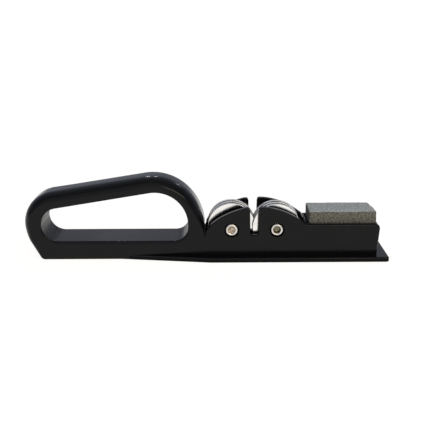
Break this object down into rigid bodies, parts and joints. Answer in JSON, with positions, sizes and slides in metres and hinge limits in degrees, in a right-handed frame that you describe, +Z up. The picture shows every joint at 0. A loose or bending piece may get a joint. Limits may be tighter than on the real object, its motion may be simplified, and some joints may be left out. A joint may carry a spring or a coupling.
{
  "type": "handheld knife sharpener",
  "caption": "Handheld knife sharpener: loop handle, knife slot between riveted stacks of interleaved steel discs, whetstone on the nose and a flared foot.",
  "frame": {"origin": "middle of the footprint on the underside that the tool rests on", "axes": "+X from the handle to the whetstone end, -Y the front side where the rivets are rolled over, +Z up"},
  "size_m": [0.21, 0.0396, 0.0479],
  "materials": {
    "moulding": "gloss black moulded",
    "whetstone": "fine grit, unpolished",
    "adhesive": "cured bonding layer",
    "disc": "turned and polished",
    "spacer": "turned",
    "rivet": "plated, satin"
  },
  "bodies": {
    "housing": {"body": "moulding", "whetstone": "whetstone", "stone_adhesive": "adhesive", "left_spacer_front": "spacer", "left_spacer_rear": "spacer", "left_front_bush": "spacer", "left_rear_bush": "spacer", "left_rivet": "rivet", "left_rivet_washer": "rivet", "right_spacer_front": "spacer", "right_spacer_rear": "spacer", "right_front_bush": "spacer", "right_rear_bush": "spacer", "right_rivet": "rivet", "right_rivet_washer": "rivet"},
    "left_disc_front": {"left_disc_front": "disc"},
    "left_disc_middle": {"left_disc_middle": "disc"},
    "left_disc_rear": {"left_disc_rear": "disc"},
    "right_disc_front": {"right_disc_front": "disc"},
    "right_disc_middle": {"right_disc_middle": "disc"},
    "right_disc_rear": {"right_disc_rear": "disc"}
  },
  "joints": [
    {"name": "left_disc_front_spin", "type": "hinge", "parent": "housing", "child": "left_disc_front", "pos_m": [0.0149, 0, 0.01735], "axis": [0, 1, 0], "continuous": true},
    {"name": "left_disc_middle_spin", "type": "hinge", "parent": "housing", "child": "left_disc_middle", "pos_m": [0.0149, 0, 0.01735], "axis": [0, 1, 0], "continuous": true},
    {"name": "left_disc_rear_spin", "type": "hinge", "parent": "housing", "child": "left_disc_rear", "pos_m": [0.0149, 0, 0.01735], "axis": [0, 1, 0], "continuous": true},
    {"name": "right_disc_front_spin", "type": "hinge", "parent": "housing", "child": "right_disc_front", "pos_m": [0.04095, 0, 0.01735], "axis": [0, 1, 0], "continuous": true},
    {"name": "right_disc_middle_spin", "type": "hinge", "parent": "housing", "child": "right_disc_middle", "pos_m": [0.04095, 0, 0.01735], "axis": [0, 1, 0], "continuous": true},
    {"name": "right_disc_rear_spin", "type": "hinge", "parent": "housing", "child": "right_disc_rear", "pos_m": [0.04095, 0, 0.01735], "axis": [0, 1, 0], "continuous": true}
  ]
}
